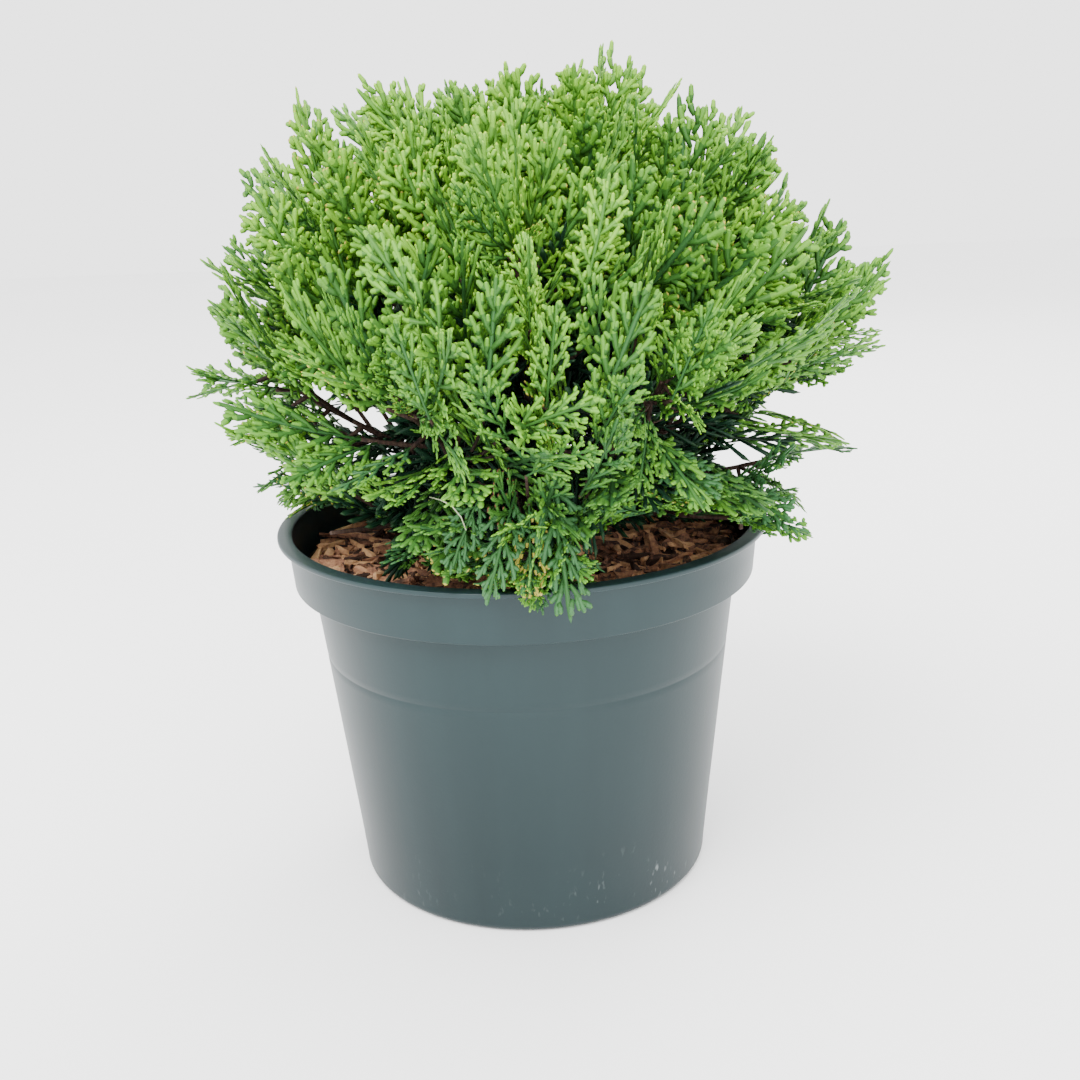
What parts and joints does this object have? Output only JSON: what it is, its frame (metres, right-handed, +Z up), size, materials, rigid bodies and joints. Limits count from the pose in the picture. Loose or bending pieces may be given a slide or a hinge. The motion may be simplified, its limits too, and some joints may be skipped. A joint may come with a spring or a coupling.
{
  "type": "potted arborvitae",
  "caption": "Globe-shaped evergreen shrub with flat scale-leaved sprays on short boughs, growing in a round plastic nursery pot filled with bark mulch.",
  "frame": {"origin": "centre of the flat underside of the pot", "axes": "+Z up along the pot's axis; -Y is the side that faced the camera; +X to the camera's right"},
  "size_m": [0.2651, 0.2699, 0.3101],
  "materials": {
    "pot_plastic": "satin slate grey moulded plastic",
    "bark_mulch": "rough damp bark chips over soil",
    "stem_bark": "thin fibrous reddish brown bark",
    "spray_green": "satin green scale leaves, yellower at the tips"
  },
  "bodies": {
    "root": {"pot": "pot_plastic", "soil": "bark_mulch", "trunk": "stem_bark", "bough_1a": "stem_bark", "bough_1b": "stem_bark", "bough_1c": "stem_bark", "bough_1d": "stem_bark", "bough_1e": "stem_bark", "bough_1f": "stem_bark", "bough_1g": "stem_bark", "bough_2a": "stem_bark", "bough_2b": "stem_bark", "bough_2c": "stem_bark", "bough_2d": "stem_bark", "bough_2e": "stem_bark", "bough_2f": "stem_bark", "bough_2g": "stem_bark", "bough_3a": "stem_bark", "bough_3b": "stem_bark", "bough_3c": "stem_bark", "bough_3d": "stem_bark", "bough_3e": "stem_bark", "bough_4a": "stem_bark", "bough_4b": "stem_bark", "bough_4c": "stem_bark", "foliage_1a": "spray_green", "foliage_1b": "spray_green", "foliage_1c": "spray_green", "foliage_1d": "spray_green", "foliage_1e": "spray_green", "foliage_1f": "spray_green", "foliage_1g": "spray_green", "foliage_2a": "spray_green", "foliage_2b": "spray_green", "foliage_2c": "spray_green", "foliage_2d": "spray_green", "foliage_2e": "spray_green", "foliage_2f": "spray_green", "foliage_2g": "spray_green", "foliage_3a": "spray_green", "foliage_3b": "spray_green", "foliage_3c": "spray_green", "foliage_3d": "spray_green", "foliage_3e": "spray_green", "foliage_4a": "spray_green", "foliage_4b": "spray_green", "foliage_4c": "spray_green"}
  },
  "joints": []
}
